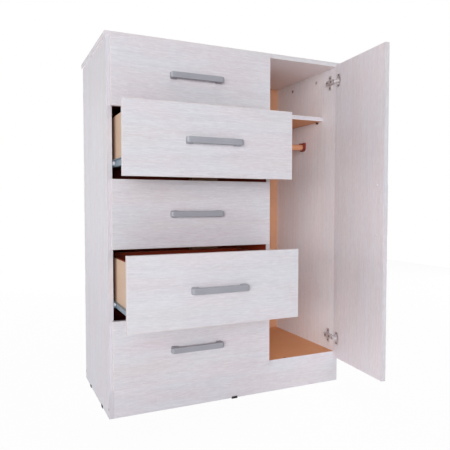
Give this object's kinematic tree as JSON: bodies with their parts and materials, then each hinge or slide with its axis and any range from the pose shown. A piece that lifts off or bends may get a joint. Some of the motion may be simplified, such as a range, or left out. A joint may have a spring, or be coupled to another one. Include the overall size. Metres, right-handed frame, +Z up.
{
  "type": "chifforobe",
  "caption": "Free-standing chifforobe: a stack of drawers on roller slides with bar handles beside a tall hanging compartment with hat shelf, clothes rod and hinged door.",
  "frame": {"origin": "on the floor under the middle of the bounding box, as stored: second and fourth drawers pulled out and the door open", "axes": "+X to the viewer's right when facing the drawer fronts, +Y from front to back, +Z up"},
  "size_m": [1.012, 0.8326, 1.3845],
  "materials": {
    "white_board": "wood-grained white laminate on particle board, low sheen",
    "brown_board": "smooth brown laminate on particle board, low sheen",
    "drawer_board": "beige foil on particle board, matt",
    "back_board": "thin hardboard, painted brown inside, matt",
    "strip_plastic": "extruded, matt",
    "rail_steel": "epoxy-coated steel, satin",
    "nylon": "moulded, satin",
    "hinge_steel": "nickel-plated steel, bright",
    "zinc": "zinc-plated, dull",
    "rod_tube": "brown coated steel tube, satin",
    "dark_plastic": "moulded, matt",
    "handle_plastic": "moulded grey, satin",
    "shoe_plastic": "moulded black, matt"
  },
  "bodies": {
    "cabinet": {"top_panel": "white_board", "left_side": "white_board", "right_side": "white_board", "divider": "white_board", "bottom_panel": "brown_board", "plinth_front": "white_board", "plinth_back": "brown_board", "back_sheet_left": "back_board", "back_sheet_right": "back_board", "back_joint_strip": "strip_plastic", "hat_shelf": "brown_board", "shelf_pins": "dark_plastic", "hanging_rod": "rod_tube", "rod_sockets": "dark_plastic", "cabinet_runners": "rail_steel", "runner_rollers": "nylon", "hinge_plates": "hinge_steel", "hinge_arms": "hinge_steel", "cam_locks": "zinc", "cabinet_screws": "zinc", "glide_shoes": "shoe_plastic"},
    "door": {"door_panel": "white_board", "door_handle": "handle_plastic", "hinge_cups": "hinge_steel"},
    "hinge_link_pair": {"hinge_links": "hinge_steel"},
    "drawer_1": {"drawer_1_front": "white_board", "drawer_1_left_side": "drawer_board", "drawer_1_right_side": "drawer_board", "drawer_1_back": "drawer_board", "drawer_1_bottom": "back_board", "drawer_1_handle": "handle_plastic", "drawer_1_runners": "rail_steel"},
    "drawer_2": {"drawer_2_front": "white_board", "drawer_2_left_side": "drawer_board", "drawer_2_right_side": "drawer_board", "drawer_2_back": "drawer_board", "drawer_2_bottom": "back_board", "drawer_2_handle": "handle_plastic", "drawer_2_runners": "rail_steel"},
    "drawer_3": {"drawer_3_front": "white_board", "drawer_3_left_side": "drawer_board", "drawer_3_right_side": "drawer_board", "drawer_3_back": "drawer_board", "drawer_3_bottom": "back_board", "drawer_3_handle": "handle_plastic", "drawer_3_runners": "rail_steel"},
    "drawer_4": {"drawer_4_front": "white_board", "drawer_4_left_side": "drawer_board", "drawer_4_right_side": "drawer_board", "drawer_4_back": "drawer_board", "drawer_4_bottom": "back_board", "drawer_4_handle": "handle_plastic", "drawer_4_runners": "rail_steel"},
    "drawer_5": {"drawer_5_front": "white_board", "drawer_5_left_side": "drawer_board", "drawer_5_right_side": "drawer_board", "drawer_5_back": "drawer_board", "drawer_5_bottom": "back_board", "drawer_5_handle": "handle_plastic", "drawer_5_runners": "rail_steel"}
  },
  "joints": [
    {"name": "drawer_1_slide", "type": "slide", "parent": "cabinet", "child": "drawer_1", "axis": [0, -1, 0], "range_m": [0, 0.35]},
    {"name": "drawer_2_slide", "type": "slide", "parent": "cabinet", "child": "drawer_2", "axis": [0, -1, 0], "range_m": [-0.1653, 0.1847]},
    {"name": "drawer_3_slide", "type": "slide", "parent": "cabinet", "child": "drawer_3", "axis": [0, -1, 0], "range_m": [0, 0.35]},
    {"name": "drawer_4_slide", "type": "slide", "parent": "cabinet", "child": "drawer_4", "axis": [0, -1, 0], "range_m": [-0.2123, 0.1377]},
    {"name": "drawer_5_slide", "type": "slide", "parent": "cabinet", "child": "drawer_5", "axis": [0, -1, 0], "range_m": [0, 0.35]},
    {"name": "door_swing", "type": "hinge", "parent": "cabinet", "child": "door", "pos_m": [0.4854, -0.08262, 0.1095], "axis": [0, 0, 1], "range_deg": [-84.9, 4]},
    {"name": "hinge_link_fold", "type": "hinge", "parent": "cabinet", "child": "hinge_link_pair", "pos_m": [0.474, -0.07972, 0.196], "axis": [0, 0, 1], "range_deg": [-106.3, 5.2]}
  ],
  "couplings": [
    {"joint": "hinge_link_fold", "follows": "door_swing", "ratio": 1.25}
  ]
}
